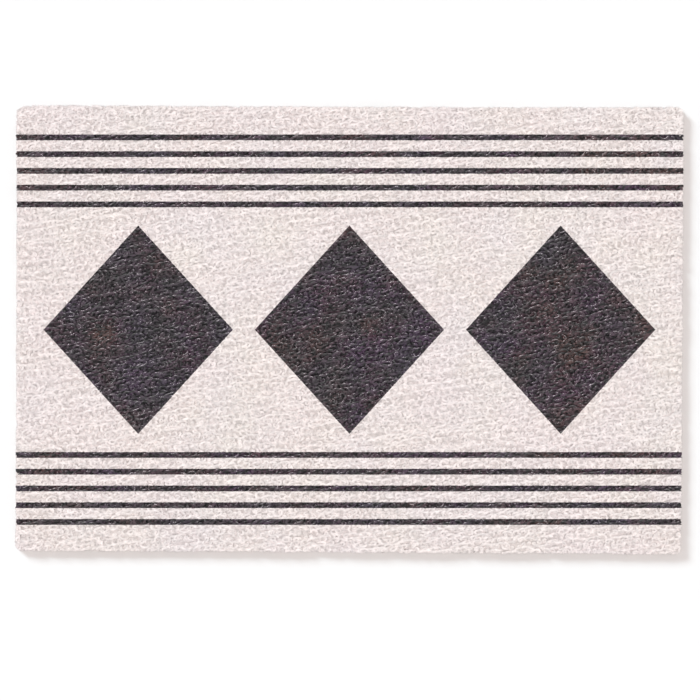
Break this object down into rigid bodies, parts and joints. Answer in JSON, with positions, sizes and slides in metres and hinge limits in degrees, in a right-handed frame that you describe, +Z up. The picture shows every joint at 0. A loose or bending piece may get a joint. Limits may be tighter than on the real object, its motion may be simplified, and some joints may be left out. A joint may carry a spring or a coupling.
{
  "type": "doormat",
  "caption": "Flat rectangular doormat of curled loop pile in cream with a charcoal geometric print, cut edges with no binding, lies on the floor to wipe shoes.",
  "frame": {"origin": "middle of the underside, on the floor", "axes": "+X along the long edges, +Y across the mat to its far long edge, +Z up through the pile"},
  "size_m": [0.9182, 0.617, 0.012],
  "materials": {
    "loop_pile": "curled loop pile, cream, printed in charcoal on its upper side"
  },
  "bodies": {
    "root": {"loop_mat": "loop_pile"}
  },
  "joints": []
}
